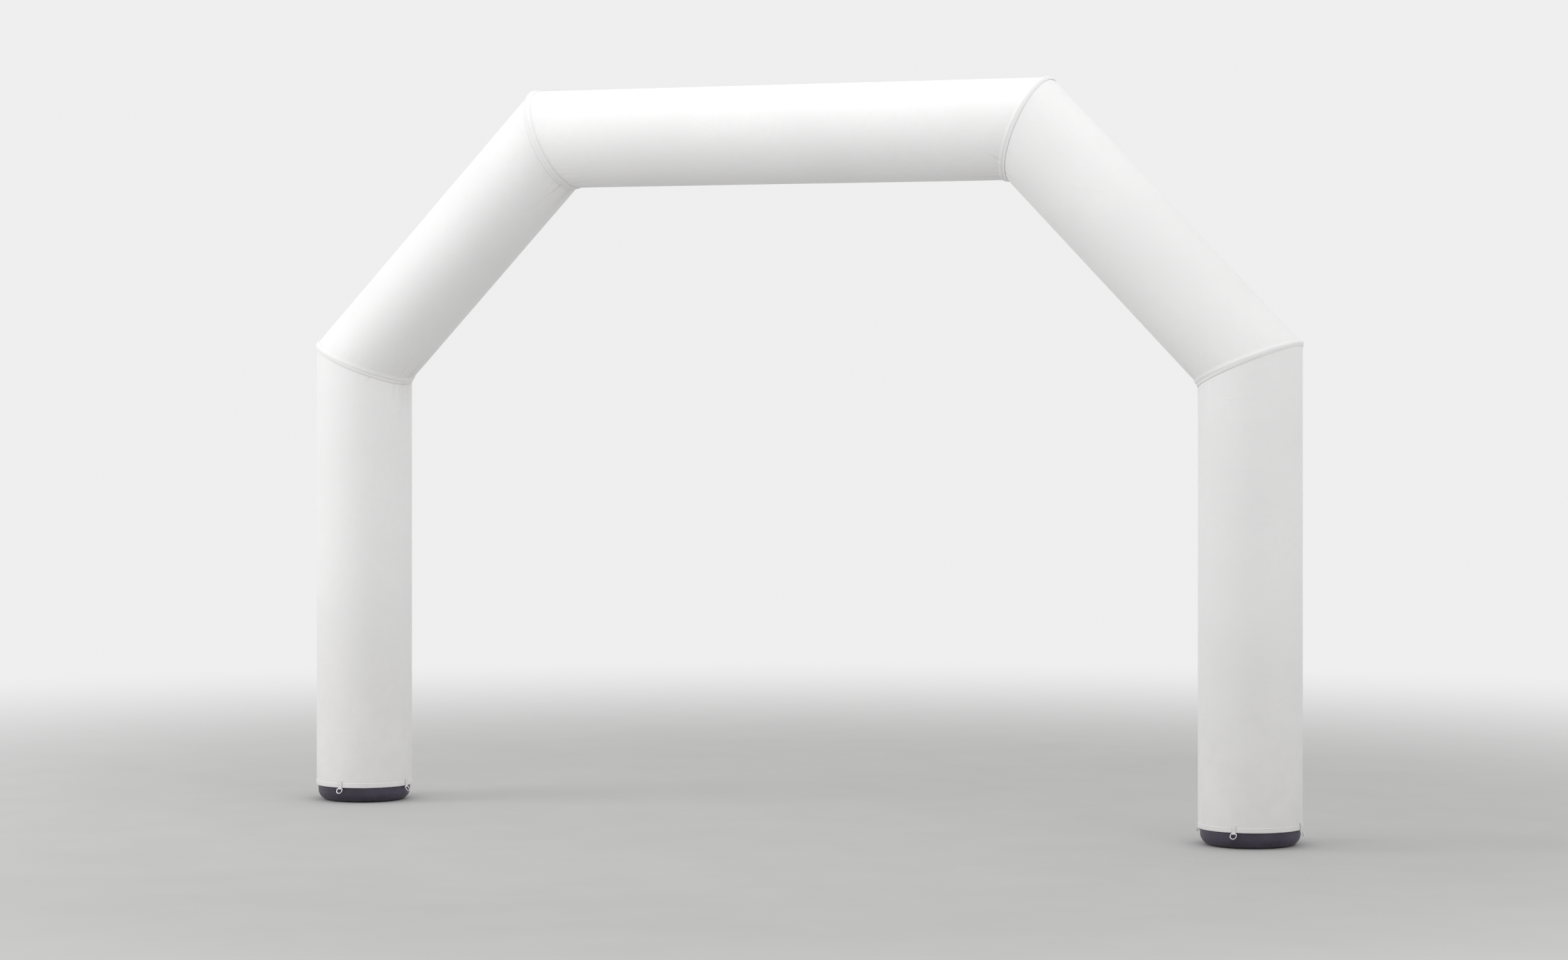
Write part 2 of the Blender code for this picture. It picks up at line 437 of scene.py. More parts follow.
class Layout:
    """The arch's axes, and points placed by tube, turn, distance from a seam and height above the cloth."""

    def __init__(self, sizes):
        self.radius = sizes.tube_radius
        self.gather_height = sizes.gather_height
        asides = np.array((sizes.leg_spacing, sizes.leg_spacing, sizes.crown_spacing)) / 2
        left = np.column_stack((-asides, 0 * asides, (0, sizes.shoulder_height, sizes.beam_height)))
        self.joints = np.vstack((left, (left * (-1, 1, 1))[::-1]))

    def axis(self, tube):
        """The way that a tube runs, from its first joint to its second."""
        return unit(self.joints[tube + 1] - self.joints[tube])

    def normal(self, joint):
        """The normal of the plane in which tubes meet: it halves their bend. A foot is cut square."""
        return unit(self.axis(max(joint - 1, 0)) + self.axis(min(joint, len(TUBES) - 1)))

    def spokes(self, tube, turn):
        """Unit spokes of a tube: cosine of the turn times its outer side plus sine times the front."""
        axis = self.axis(tube)
        outward = np.array((-axis[2], 0, axis[0]))
        return np.cos(turn)[..., None] * outward + np.sin(turn)[..., None] * FRONT

    def point(self, joint, tube, turn, away, proud):
        """A point on a tube: the spoke at this turn, as long as the radius plus proud, slid along the axis
        until it is this far from the joint's plane."""
        turn, away, proud = np.broadcast_arrays(turn, away, proud)
        axis = self.axis(tube)
        normal = self.normal(joint)
        spoke = (self.radius + proud)[..., None] * self.spokes(tube, turn)
        signed = away if tube == joint else -away
        slide = signed - spoke @ normal / (axis @ normal)
        return self.joints[joint] + spoke + slide[..., None] * axis

    def near_inner(self, turn, spread):
        """1 at a seam's inner corner, falling off round the tube as a bell of this spread."""
        return bell(wrapped(turn - math.pi), spread)

    def gathers(self, joint, tube, turn, away):
        """The small folds that a seam's stitching gathers in the cloth beside it.

        Two rounds of pleats, fine ones close to the seam and broad ones farther off, are each the rounded
        size of a sine, so that the cloth puffs between sharp valleys. Slow cosines added to the sine's place
        make them uneven. Both rise from nothing at the seam and die away after their crest, as distance
        times a falling exponential, and are strongest at the inner corner, where the cloth is slackest. A
        few single tucks cluster there too. Each is a bell across that leans away from the corner with
        distance.
        """
        turn, away = np.broadcast_arrays(turn, away)
        draw = np.random.default_rng(100 + 10 * joint + tube)
        strength = GATHERS_ROUND + GATHERS_INNER * self.near_inner(turn, GATHERS_SPREAD)
        strength = strength + GATHERS_UNEVEN * np.cos(3 * turn + draw.uniform(0, TURN))
        folds = 0
        for pleats, reach, height in PLEATS:
            drift = waves_round(draw, turn, (2, 3, 5, 7), 0.5, 1.3)
            puff = np.sqrt(np.sin(pleats / 2 * turn + drift) ** 2 + 0.02) - 0.66
            folds = folds + height * strength * puff * crested(away / reach)
        for spread in TUCKS:
            middle = draw.normal(0, spread)
            breadth = draw.uniform(0.016, 0.030)
            crest = crested(away / draw.uniform(0.024, 0.055))
            deep = draw.uniform(0.7, 1.6)
            off = wrapped(turn - math.pi - middle * (1 + 2.5 * away))
            folds = folds - deep * bell(off, breadth) * crest
        return self.gather_height * folds

    def sway(self, tube, turn, along):
        """The faint unevenness of hard-blown cloth: slow waves round and along the tube."""
        draw = np.random.default_rng(300 + tube)
        total = 0
        for _ in range(5):
            total = total + draw.uniform(0.4, 1.0) * np.cos(
                draw.integers(2, 7) * turn + draw.uniform(3, 11) * along + draw.uniform(0, TURN)
            )
        return SWAY * total


def closing_lap(layout, turn):
    """The height of the lapped seam up a tube's back: a flat band with soft shoulders, a little lower
    along its two rows of stitches."""
    off = np.abs(wrapped(turn - LAP_TURN) * layout.radius)
    band = LAP_HEIGHT * above(LAP_HALF, off, LAP_STEP / 4)
    return band - LAP_ROW_DEPTH * bell(off - LAP_ROW, LAP_ROW_BREADTH)


def drawn_edge():
    """Distance from the seam and height above the cloth along a tube's drawn-in edge, from the seam out:
    a quarter of an ellipse."""
    turn = np.linspace(math.pi / 2, 0, DRAW_STEPS + 1)
    return CLEARANCE + DRAW_LENGTH * (1 - np.sin(turn)), -DRAW_DEPTH * (1 - np.cos(turn))


# Meshes


def volume_of(points, faces):
    """Six times a closed mesh's volume, as the sum of each triangle's triple product."""
    a, b, c = (points[faces[:, i]] for i in range(3))
    return np.einsum("ij,ij->i", a, np.cross(b, c)).sum()


def put_mesh(name, points, polygons, maps, material, sharp_angle=35):
    """A mesh object of these points and polygons, its faces outward, with a map for its pattern.

    polygons is a list of face arrays, each of one number of corners. maps holds the map's place for each
    corner, in the same order, or is None.
    """
    triangles = np.vstack([p[:, (0, i, i + 1)] for p in polygons for i in range(1, p.shape[1] - 1)])
    if volume_of(points, triangles) < 0:
        polygons = [p[:, ::-1] for p in polygons]
        maps = maps and [m[:, ::-1] for m in maps]
    corners = np.concatenate([p.ravel() for p in polygons])
    sizes = np.concatenate([np.full(len(p), p.shape[1]) for p in polygons])
    mesh = bpy.data.meshes.new(name)
    mesh.vertices.add(len(points))
    mesh.vertices.foreach_set("co", points.astype(np.float32).ravel())
    mesh.loops.add(len(corners))
    mesh.loops.foreach_set("vertex_index", corners.astype(np.int32))
    mesh.polygons.add(len(sizes))
    mesh.polygons.foreach_set("loop_start", (np.cumsum(sizes) - sizes).astype(np.int32))
    if maps:
        layer = mesh.uv_layers.new(name=PATTERN)
        layer.uv.foreach_set("vector", np.concatenate([m.reshape(-1) for m in maps]).astype(np.float32))
    mesh.update(calc_edges=True)
    mesh.shade_smooth()
    mesh.set_sharp_from_angle(angle=math.radians(sharp_angle))
    return put_object(name, mesh, material)


def put_object(name, mesh, material):
    """An object of this mesh and material, in the scene."""
    mesh.materials.append(material)
    piece = bpy.data.objects.new(name, mesh)
    bpy.context.scene.collection.objects.link(piece)
    return piece


def round_index(rows, columns):
    """The numbers of a grid's points, row by row, with the first column again as the last."""
    index = np.arange(rows * columns).reshape(rows, columns)
    return np.hstack((index, index[:, :1]))


def quads_of(grid):
    """The four corners of each cell of a grid, in order round it."""
    cells = np.stack((grid[:-1, :-1], grid[:-1, 1:], grid[1:, 1:], grid[1:, :-1]), axis=2)
    return cells.reshape((-1, 4) + grid.shape[2:])


def skin(name, grid, across, along, material, joined=False, sharp_angle=35):
    """A mesh over a grid of points that closes round its columns.

    Its first and last rows are joined to each other or closed by a fan round their middles. across and
    along are the pattern's map in metres, moved so far that none of it is below nothing. They have one
    column more than the grid, and one row more where the rows are joined, so that the pattern runs on to
    the line where the surface closes.
    """
    rows, columns = grid.shape[:2]
    index = round_index(rows, columns)
    if joined:
        index = looped(index)
    pattern = np.stack(np.broadcast_arrays(across, along), axis=-1) / MAP_SPAN
    points = grid.reshape(-1, 3)
    polygons, maps = [quads_of(index)], [quads_of(pattern)]
    if not joined:
        for row, step in ((0, -1), (-1, 1)):
            middle = np.full(columns, len(points))
            points = np.vstack((points, grid[row].mean(0)))
            edge, edge_map = index[row][::step], pattern[row][::step]
            centre_map = np.broadcast_to(edge_map.mean(0), (columns, 2))
            polygons.append(np.column_stack((middle, edge[:-1], edge[1:])))
            maps.append(np.stack((centre_map, edge_map[:-1], edge_map[1:]), axis=1))
    return put_mesh(name, points, polygons, maps, material, sharp_angle)


def keep_worn_shade(piece, values):
    """Keeps how worn each point of a piece is, and on a tube's cloth also its painted shade, for its material
    to read.
    """
    padded = np.zeros(len(piece.data.vertices), np.float32)
    padded[: values.size] = values.ravel()
    layer = piece.data.attributes.new(WORN_SHADE_ATTRIBUTE, "FLOAT", "POINT")
    layer.data.foreach_set("value", padded)


def belongs(piece, node):
    """Rides on the arch and, where it has a solid, stands for it and hides it."""
    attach(piece, "root")
    if node:
        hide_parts(node)
    return piece


def stitches_along(path, lift, pitch, width):
    """Points of the stitches of one row of sewing, as (stitch, ring, side, 3).

    path is a line of points on the cloth and lift the cloth's outward direction at each. A stitch is a
    short tube that follows the path for most of one pitch. Its middle line rises as a flattened arch, one
    minus the fourth power of the place along it, and its ends dip into the cloth and narrow.
    """
    run = run_lengths(path)
    count = max(int(run[-1] / pitch), 1)
    pitch = run[-1] / count
    place = np.linspace(-1, 1, STITCH_RINGS)
    spots = (np.arange(count) + 0.5)[:, None] * pitch + place * pitch * STITCH_REACH
    line = np.stack([np.interp(spots, run, path[:, k]) for k in range(3)], axis=-1)
    up = unit(np.stack([np.interp(spots, run, lift[:, k]) for k in range(3)], axis=-1))
    side = np.cross(unit(np.gradient(line, axis=1)), up)
    line = line + up * (width * (STITCH_RISE * (1 - place**4) - STITCH_SINK))[None, :, None]
    turn = once_round(STITCH_SIDES)
    thick = width / 2 * (1 - STITCH_NARROWING * place**4)
    spoke = up[:, :, None] * np.cos(turn)[:, None] + side[:, :, None] * np.sin(turn)[:, None]
    return line[:, :, None] + spoke * thick[None, :, None, None]


def sew(name, rows, pitch, width, material):
    """One mesh of all the stitches of several rows of sewing. Each row is a path and its lift."""
    grids = np.concatenate([stitches_along(path, lift, pitch, width) for path, lift in rows])
    count, rings, sides = grids.shape[:3]
    index = round_index(rings, sides)
    ends = np.stack((index[0, :-1][::-1], index[-1, :-1]))
    starts = (np.arange(count) * rings * sides)[:, None, None]
    polygons = [(starts + quads_of(index)).reshape(-1, 4), (starts + ends).reshape(-1, sides)]
    piece = put_mesh(name, grids.reshape(-1, 3), polygons, None, material, sharp_angle=80)
    return belongs(piece, None)


# Materials


class Finish:
    """A material under construction: nodes are added by kind and joined as they are made."""

    def __init__(self, name, roughness, metallic=0.0, specular=0.5, sheen=0.0):
        self.material = bpy.data.materials.new(name)
        self.material.use_nodes = True
        self.tree = self.material.node_tree
        self.shader = self.tree.nodes["Principled BSDF"]
        for socket, value in (
            ("Roughness", roughness),
            ("Metallic", metallic),
            ("Specular IOR Level", specular),
            ("Sheen Weight", sheen),
        ):
            self.shader.inputs[socket].default_value = value

    def add(self, kind, inputs=(), **settings):
        """A node with its settings. Each input is a number, a colour or another node's output."""
        node = self.tree.nodes.new(kind)
        for key, value in settings.items():
            setattr(node, key, value)
        for socket, value in dict(inputs).items():
            if isinstance(value, bpy.types.NodeSocket):
                self.tree.links.new(value, node.inputs[socket])
            else:
                node.inputs[socket].default_value = value
        return node

    def place(self):
        """Where a point is on the arch."""
        return self.add("ShaderNodeTexCoord").outputs["Object"]

    def scaled(self, place, scale):
        """A place with each of its three parts multiplied."""
        return self.add("ShaderNodeMapping", {"Vector": place, "Scale": scale}).outputs["Vector"]

    def part(self, place, axis):
        """One part of a place: X, Y or Z."""
        return self.add("ShaderNodeSeparateXYZ", {"Vector": place}).outputs[axis]

    def pattern(self, pitch_across, pitch_along):
        """Where a point is on its own map, counted in pitches, as two outputs."""
        uv = self.add("ShaderNodeUVMap", uv_map=PATTERN).outputs["UV"]
        mapped = self.scaled(uv, (MAP_SPAN / pitch_across, MAP_SPAN / pitch_along, 1))
        return self.part(mapped, "X"), self.part(mapped, "Y")

    def math(self, operation, *values):
        """The result of an operation on numbers."""
        return self.add("ShaderNodeMath", dict(enumerate(values)), operation=operation).outputs["Value"]

    def times(self, first, second):
        """The product of two numbers."""
        return self.math("MULTIPLY", first, second)

    def plus(self, first, second):
        """The sum of two numbers."""
        return self.math("ADD", first, second)

    def ribs(self, place):
        """Rounded ribs, one to a pitch: the size of the sine of half a turn for each."""
        return self.math("ABSOLUTE", self.math("SINE", self.times(place, math.pi)))

    def vector(self, operation, *values):
        """The result of an operation on places."""
        node = self.add("ShaderNodeVectorMath", dict(enumerate(values)), operation=operation)
        return node.outputs["Vector"]

    def fit(self, value, low, high, start=0.3, end=0.7):
        """A value carried smoothly from one range, start to end, to another, and held at its ends."""
        inputs = {"Value": value, "From Min": start, "From Max": end, "To Min": low, "To Max": high}
        return self.add("ShaderNodeMapRange", inputs, interpolation_type="SMOOTHSTEP").outputs["Result"]

    def noise(self, where, scale, detail=3.0, roughness=0.55):
        """Cloudy noise, from 0 to 1."""
        inputs = {"Vector": where, "Scale": scale, "Detail": detail, "Roughness": roughness}
        return self.add("ShaderNodeTexNoise", inputs).outputs["Fac"]

    def worn_and_shaded(self, where, scale, least):
        """How worn a point is, with the painted shade that the cloth's values carry, broken up by noise that
        leaves at least this share of it.
        """
        rub = self.add("ShaderNodeAttribute", attribute_name=WORN_SHADE_ATTRIBUTE).outputs["Fac"]
        return self.times(rub, self.fit(self.noise(where, scale, 4.0), least, 1.0))

    def blend(self, share, first, second):
        """Two colours mixed by a share."""
        node = self.add("ShaderNodeMix", data_type="RGBA")
        for socket, value in (("Factor_Float", share), ("A_Color", first), ("B_Color", second)):
            target = next(s for s in node.inputs if s.identifier == socket)
            if isinstance(value, bpy.types.NodeSocket):
                self.tree.links.new(value, target)
            else:
                target.default_value = (*value[:3], 1)
        return next(s for s in node.outputs if s.identifier == "Result_Color")

    def bump(self, height, distance, strength, under=None):
        """The surface's normal over bumps that are this many metres high, laid over another normal."""
        inputs = {"Height": height, "Distance": distance, "Strength": strength}
        if under is not None:
            inputs["Normal"] = under
        return self.add("ShaderNodeBump", inputs).outputs["Normal"]

    def finish(self, colour, roughness=None, normal=None):
        """Joins the colour, roughness and surface to the shader."""
        for socket, value in (("Base Color", colour), ("Roughness", roughness), ("Normal", normal)):
            if value is not None:
                self.tree.links.new(value, self.shader.inputs[socket])
        return self.material


def shade(colour, factor):
    """A colour made lighter or darker."""
    return tuple(channel * factor for channel in colour)


def weave(f, pitch):
    """The height of a plain weave: in each cell of a chequer one yarn lies on top, and its height is the
    sine across it, less near the cell's ends."""
    across, along = f.pattern(pitch, pitch)
    cell = f.plus(f.math("FLOOR", across), f.math("FLOOR", along))
    warp, weft = f.ribs(across), f.ribs(along)
    rise = f.times(f.math("PINGPONG", cell, 1.0), f.math("SUBTRACT", weft, warp))
    top = f.times(f.plus(rise, warp), 0.55)
    return f.plus(top, f.times(f.times(warp, weft), 0.45))


def creases(f, where, scale):
    """The height of the faint creases that folding leaves: 1 on the lines between random cells, whose places
    are shifted by noise so that the lines wander, and 0 a little way off. Slow noise rubs most of it out."""
    drift = f.add("ShaderNodeTexNoise", {"Vector": where, "Scale": 2.5, "Detail": 2.0}).outputs["Color"]
    bent = f.vector("MULTIPLY_ADD", f.vector("SUBTRACT", drift, (0.5,) * 3), (0.35,) * 3, where)
    cells = f.add("ShaderNodeTexVoronoi", {"Vector": bent, "Scale": scale}, feature="DISTANCE_TO_EDGE")
    line = f.fit(cells.outputs["Distance"], 1.0, 0.0, 0.0, 0.035)
    return f.times(line, f.fit(f.noise(where, 1.9), 0.0, 1.0, 0.45, 0.70))


def cloth_material(colours, sizes):
    """Coated white weave: a fine plain weave with painted shade in its hollows, faint fold creases, slow
    differences of tone, grey on worn edges with painted shade beside the welts and in the folds, and dust
    with painted shade that darkens the cloth near the ground and thins out above it."""
    f = Finish(CLOTH, 0.52, specular=0.35, sheen=0.12)
    where = f.place()
    yarns = weave(f, sizes.weave_pitch)
    base = tuple(colours.cloth_colour)
    colour = f.blend(f.fit(f.noise(where, 1.3, 2.0), 0, 1), shade(base, 0.975), shade(base, 1.015))
    colour = f.blend(f.fit(f.noise(where, 22.0, 4.0), 0, 0.35, 0.35, 0.75), colour, shade(base, 0.965))
    # Painted shade: the cloth is a little darker where its yarns dip, in the hollows of the weave.
    colour = f.blend(f.fit(yarns, 0.16, 0.0, 0.1, 0.6), colour, shade(base, 0.72))
    # Worn places and painted shade: grey on worn hems and welt crests, and painted shade beside the welts and
    # in the folds.
    colour = f.blend(f.worn_and_shaded(where, 26.0, 0.60), colour, CLOTH_WORN_SHADED)
    # Dust and painted shade: greyer towards the ground, most at the foot and fading out by 1.6 m, so that the
    # lower legs look shaded by the floor.
    patches = f.fit(f.noise(where, 9.0, 5.0), 0.6, 1, 0.35, 0.7)
    near_floor_share = f.times(f.fit(f.part(where, "Z"), 0.27, 0.0, 0.0, 1.6), patches)
    colour = f.blend(near_floor_share, colour, GROUND_DUST_AND_SHADE)
    roughness = f.fit(f.noise(where, 35.0), 0.46, 0.60)
    soft = f.bump(f.noise(where, 5.0, 2.0), 0.0012, 0.25)
    folded = f.bump(creases(f, where, 3.2), 0.0012, 0.35, under=soft)
    return f.finish(colour, roughness, f.bump(yarns, 0.00014, 0.8, under=folded))


def thread_material(colours):
    """Twisted polyester thread, a little glossier than the cloth."""
    f = Finish("white_thread", 0.42, specular=0.45, sheen=0.1)
    where = f.place()
    base = tuple(colours.cloth_colour)
    twist = {"Vector": where, "Scale": 900.0, "Distortion": 2.0}
    strands = f.add("ShaderNodeTexWave", twist, bands_direction="DIAGONAL").outputs["Fac"]
    colour = f.blend(f.fit(f.noise(where, 40.0), 0, 1), shade(base, 0.74), shade(base, 0.88))
    return f.finish(colour, None, f.bump(strands, 0.00006, 0.6))


def sheeting_material(colours):
    """Dark coated sheeting: a fine pebbled grain, scuffs that have lost some colour, and dust at the sole."""
    f = Finish("dark_coated_sheeting", 0.42, specular=0.45)
    where = f.place()
    base = tuple(colours.sheeting_colour)
    slow = f.noise(where, 7.0)
    colour = f.blend(f.fit(slow, 0, 1), shade(base, 0.80), shade(base, 1.25))
    scuffed = f.fit(f.noise(f.scaled(where, (1, 1, 5)), 30.0, 6.0, 0.7), 0, 0.5, 0.60, 0.78)
    colour = f.blend(scuffed, colour, SHEETING_SCUFF)
    low = f.fit(f.part(where, "Z"), 0.55, 0.0, 0.001, 0.030)
    near_floor_share = f.times(low, f.fit(f.noise(where, 45.0, 5.0, 0.65), 0.1, 1, 0.35, 0.68))
    colour = f.blend(near_floor_share, colour, SHEETING_DUST)
    roughness = f.plus(f.fit(slow, 0.34, 0.46), f.times(near_floor_share, 0.3))
    pebbles = {"Vector": where, "Scale": 620.0}
    grain = f.add("ShaderNodeTexVoronoi", pebbles, feature="SMOOTH_F1").outputs["Distance"]
    soft = f.bump(f.noise(where, 28.0), 0.0015, 0.35)
    return f.finish(colour, roughness, f.bump(grain, 0.00018, 0.5, under=soft))


def webbing_material(colours):
    """Woven webbing: ribs along the strap, a zigzag of yarns across them with painted shade in their hollows,
    and grey rubbing at the edges.
    """
    f = Finish("white_webbing", 0.66, specular=0.3, sheen=0.2)
    across, along = f.pattern(0.0021, 0.0017)
    yarn = f.ribs(f.plus(along, f.math("PINGPONG", across, 1.0)))
    height = f.plus(f.times(f.ribs(across), 0.6), f.times(yarn, 0.5))
    where = f.place()
    base = tuple(colours.webbing_colour)
    # Painted shade and light: darker in the hollows of the ribs and yarns, lighter on their tops.
    colour = f.blend(height, shade(base, 0.80), shade(base, 1.04))
    colour = f.blend(f.worn_and_shaded(where, 160.0, 0.2), colour, WEBBING_RUBBED)
    return f.finish(colour, f.fit(f.noise(where, 90.0), 0.58, 0.74), f.bump(height, 0.00028, 0.8))


def steel_material(colours):
    """Bright plated wire: fine hairline scratches, duller spots, and slight browning in them."""
    f = Finish("bright_steel", 0.2, metallic=1.0)
    where = f.place()
    base = tuple(colours.steel_colour)
    spots = f.noise(where, 210.0, 5.0, 0.6)
    colour = f.blend(f.fit(f.noise(where, 50.0), 0, 1), shade(base, 0.93), base)
    colour = f.blend(f.fit(spots, 0, 0.55, 0.62, 0.76), colour, STEEL_BROWNING)
    hairlines = f.noise(f.scaled(where, (1, 1, 9)), 700.0, 2.0)
    return f.finish(colour, f.fit(spots, 0.15, 0.40, 0.45, 0.75), f.bump(hairlines, 0.00003, 0.5))


def floor_material(light):
    """A pale matt floor that fades, with distance from the arch, to the brightness of the backdrop."""
    f = Finish("pale_floor", 0.8, specular=0.15)
    where = f.place()
    flat = f.vector("MULTIPLY", where, (1, 1, 0))
    away = f.add("ShaderNodeVectorMath", {0: flat}, operation="LENGTH").outputs["Value"]
    f.finish(f.blend(f.fit(f.noise(where, 1.7, 5.0), 0, 1), *FLOOR_GREYS))
    lit = f.shader.outputs["BSDF"]
    glow = f.add("ShaderNodeEmission", {"Color": (light, light, light, 1)}).outputs["Emission"]
    mix = f.add("ShaderNodeMixShader", {0: f.fit(away, 0.0, 1.0, 3.8, 13.0), 1: lit, 2: glow})
    f.tree.links.new(mix.outputs["Shader"], f.tree.nodes["Material Output"].inputs["Surface"])
    return f.material


# Pieces


def tube_turns(layout):
    """The turns of a tube's columns, once round from the middle of the closing lap. They are evenly spaced,
    but for the lap, which has columns of its own."""
    even = once_round(COLUMNS)
    lap = LAP_COLUMNS / layout.radius
    clear = lap[-1] + 0.006 / layout.radius
    even = even[(even > clear) & (even < TURN - clear)]
    return LAP_TURN + np.sort(np.concatenate((even, lap[lap >= 0], lap[lap < 0] + TURN)))


def end_rows(layout, joint, tube, turns):
    """The rows of points at a sewn end of a tube, from the seam out: the drawn edge and the cloth beside
    it, with the gathers and the closing lap."""
    away, proud = drawn_edge()
    away = np.concatenate((away, END_ROWS))[:, None]
    proud = np.concatenate((proud, 0 * END_ROWS))[:, None]
    proud = proud + layout.gathers(joint, tube, turns, away) + closing_lap(layout, turns) * ramp(away, 0.02)
    return layout.point(joint, tube, turns, away, proud)


def foot_rows(layout, foot, tube, turns):
    """The rows of points of a leg's foot, from the skirt's inside round the hem and up the wall.

    The hem's lower edge is a half circle from the skirt's inside to its outside. The band stands proud,
    is pulled in along its row of stitches, and steps back to the wall above. The skirt waves a little:
    slow cosines round the leg, greatest at its edge and nothing at the wall.
    """
    inside = -SKIRT_THICKNESS
    half = (HEM_PROUD - inside) / 2
    fold_proud, fold_height = arc((inside + HEM_PROUD) / 2, HEM_HEIGHT + half, half, 180, 360, 9).T
    band_proud = HEM_PROUD * above(HEM_STEP, BAND_ROWS, HEM_STEP_BREADTH)
    band_proud = band_proud - HEM_ROW_DEPTH * bell(BAND_ROWS - HEM_ROW, HEM_ROW_BREADTH)
    height = np.concatenate(((SKIRT_TOP, SKIRT_MIDDLE), fold_height, BAND_ROWS, WALL_ROWS))[:, None]
    proud = np.concatenate(((inside, inside), fold_proud, band_proud, 0 * WALL_ROWS))[:, None]
    waves = waves_round(np.random.default_rng(500 + foot), turns, (5, 9, 14, 23, 31), 0.3, 1)
    loose = ramp(SKIRT_TOP - height, SKIRT_DEPTH) ** 1.5
    height = height + EDGE_WAVE * waves * ramp(EDGE_WAVE_TOP - height, EDGE_WAVE_REACH)
    pucker = np.cos(np.round(TURN * layout.radius / PUCKER_PITCH) * turns)
    pull = PUCKER_DEPTH * pucker * bell(height - HEM_ROW, PUCKER_BREADTH) * (proud > inside / 2)
    lap = closing_lap(layout, turns) * ramp(height - HEM_LAP, HEM_LAP_REACH)
    return layout.point(foot, tube, turns, height, proud + SKIRT_WAVE * waves * loose + pull + lap)


def make_tube(layout, tube, material):
    """A tube of cloth: the rows of its two ends, with even rows between them that sway a little."""
    turns = tube_turns(layout)
    ends = []
    for joint in (tube, tube + 1):
        ends.append((foot_rows if joint in FEET else end_rows)(layout, joint, tube, turns))
    first, last = ends[0], ends[1][::-1]
    count = int(np.linalg.norm((last[0] - first[-1]).mean(0)) / ROW_PITCH)
    share = (np.arange(1, count) / count)[:, None, None]
    middle = first[-1] * (1 - share) + last[0] * share
    grid = np.concatenate((first, middle, last))
    along = (grid - layout.joints[tube]) @ layout.axis(tube)
    calm = np.zeros(len(grid))
    calm[len(first) : len(first) + count - 1] = np.sin(np.pi * share[:, 0, 0]) ** 0.5
    swaying = calm[:, None] * layout.sway(tube, turns, along)
    grid = grid + swaying[..., None] * layout.spokes(tube, turns)
    across = (closed_turns(turns) - turns[0])[None] * layout.radius
    piece = skin(f"{TUBES[tube]}_cloth", grid, across, np.hstack((along, along[:, :1])) + 0.3, material)
    keep_worn_shade(piece, tube_worn_shade(layout, tube, grid, turns))
    belongs(piece, TUBES[tube])
    return piece


def tube_worn_shade(layout, tube, grid, turns):
    """How worn and shaded a tube's cloth is: a trace of dirt and painted shade beside its sewn seams, a grey
    line of painted shade under some welts' edges, which is darker towards the inner corner, painted shade in
    the folds and, on a leg, a worn trace along the hem's edge."""
    rub = np.zeros(grid.shape[:2])
    for joint in (tube, tube + 1):
        if joint in FEET:
            off_hem = np.abs(grid[..., 2] - HEM_HEIGHT)
            rub += 0.22 * np.exp(-off_hem / 0.004) + 0.06 * np.exp(-off_hem / 0.05)
        else:
            away = np.abs((grid - layout.joints[joint]) @ layout.normal(joint))
            # A trace of dirt and painted shade beside the seam, where the welt meets the cloth.
            rub += 0.08 * np.exp(-away / 0.018)
            # Painted shade in the valleys of the gathers' folds.
            rub += 0.18 * ramp(-layout.gathers(joint, tube, turns, away), 0.003)
            # Painted shade: a grey line on the cloth beneath the welt's edge, darker towards the inner
            # corner.
            dark, reach = PAINTED_WELT_SHADE.get((joint, tube), (0, 0))
            line = bell(np.clip(away - reach, 0, None), 0.008)
            rub += dark * (0.34 + 0.34 * layout.near_inner(turns, 1.4)) * line
    return rub


def welt_swell(layout, turn):
    """How much higher the welt stands than its section: most at the inner corner, where it is bunched. It
    puffs a little between its tight places, as the rounded size of a sine."""
    puff = np.sqrt(np.sin(26 * turn + 1.3 * np.cos(3 * turn) + np.cos(7 * turn)) ** 2 + 0.03) - 0.6
    inner = layout.near_inner(turn, 0.45)
    return 1 + 0.40 * inner + (0.05 + 0.10 * inner) * puff


def welt_points(layout, joint, upper, lower, turn, reach, proud):
    """Points of a welt: on the upper tube where reach is positive, and on the lower one where it isn't."""
    turn, reach, proud = np.broadcast_arrays(turn, reach, proud)
    proud = proud * np.where(proud > 0.002, welt_swell(layout, turn), 1)
    points = np.empty(turn.shape + (3,))
    for tube, side in ((upper, reach >= 0), (lower, reach < 0)):
        away = np.abs(reach[side])
        folds = layout.gathers(joint, tube, turn[side], away) * ramp(away, 0.012)
        points[side] = layout.point(joint, tube, turn[side], away, proud[side] + folds)
    return points


def make_welt(layout, name, joint, upper, lower, material):
    """A seam's welt: a smooth closed section carried round the seam, higher at the inner corner."""
    section = smooth_loop(WELT_SECTION, WELT_STEPS)
    turns = LAP_TURN + once_round(COLUMNS)
    grid = welt_points(layout, joint, upper, lower, turns, section[:, :1], section[:, 1:])
    across = closed_turns(turns)[None] * layout.radius + 0.6
    along = looped(section[:, :1]) + 0.1
    piece = skin(f"{name}_strip", grid, across, along, material, joined=True, sharp_angle=60)
    crest = bell(section[:, :1] - 0.001, 0.006) * (section[:, 1:] > 0.005)
    keep_worn_shade(piece, np.broadcast_to(0.04 * crest, grid.shape[:2]))
    belongs(piece, name)
    return piece


